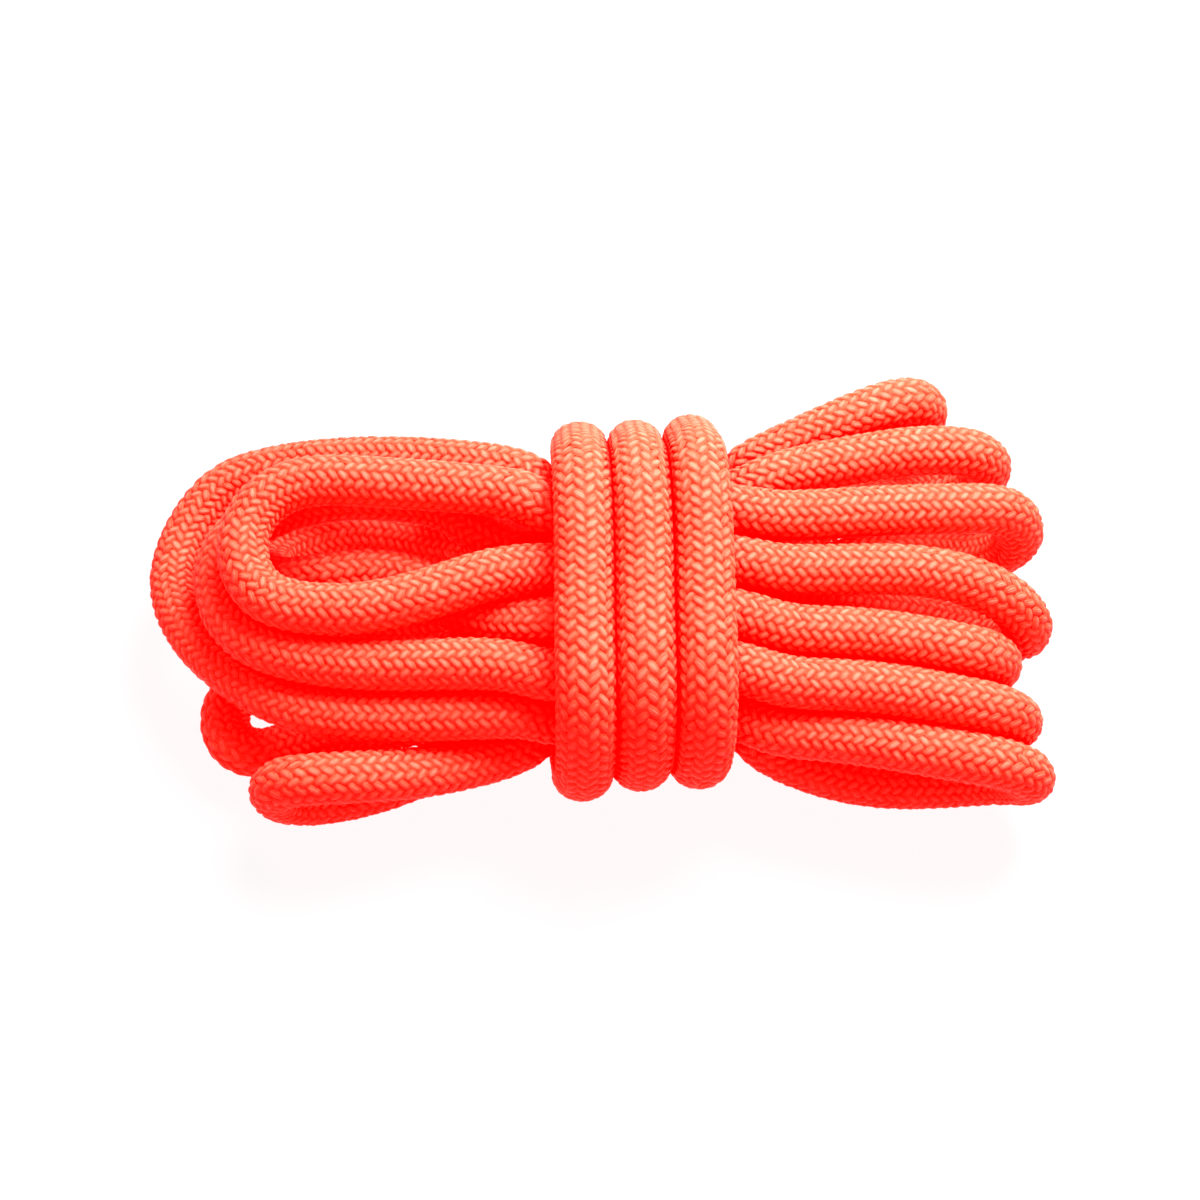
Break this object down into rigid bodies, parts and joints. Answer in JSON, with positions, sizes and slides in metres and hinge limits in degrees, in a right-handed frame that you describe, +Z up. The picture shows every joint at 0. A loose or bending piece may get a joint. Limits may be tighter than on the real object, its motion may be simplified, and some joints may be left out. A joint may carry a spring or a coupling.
{
  "type": "dynamic climbing rope",
  "caption": "Dynamic kernmantle climbing rope packed as a flat hank: bights at one end, loops at the other, wraps round the middle.",
  "frame": {"origin": "middle of the hank's footprint, on the surface it lies on", "axes": "+X along the hank from its wide loops to its fan of bights, +Z up out of the surface, +Y towards the side where the top bight of the fan lies"},
  "size_m": [0.1748, 0.0891, 0.0544],
  "materials": {
    "sheath_yarn": "satin",
    "core_yarn": "matte",
    "tape_film": "matte",
    "fused_yarn": "gloss"
  },
  "bodies": {
    "root": {"sheath": "sheath_yarn", "core_strand_1": "core_yarn", "core_strand_2": "core_yarn", "core_strand_3": "core_yarn", "core_strand_4": "core_yarn", "core_strand_5": "core_yarn", "core_strand_6": "core_yarn", "core_strand_7": "core_yarn", "marker_tape": "tape_film", "fused_end_start": "fused_yarn", "fused_end_finish": "fused_yarn"}
  },
  "joints": []
}
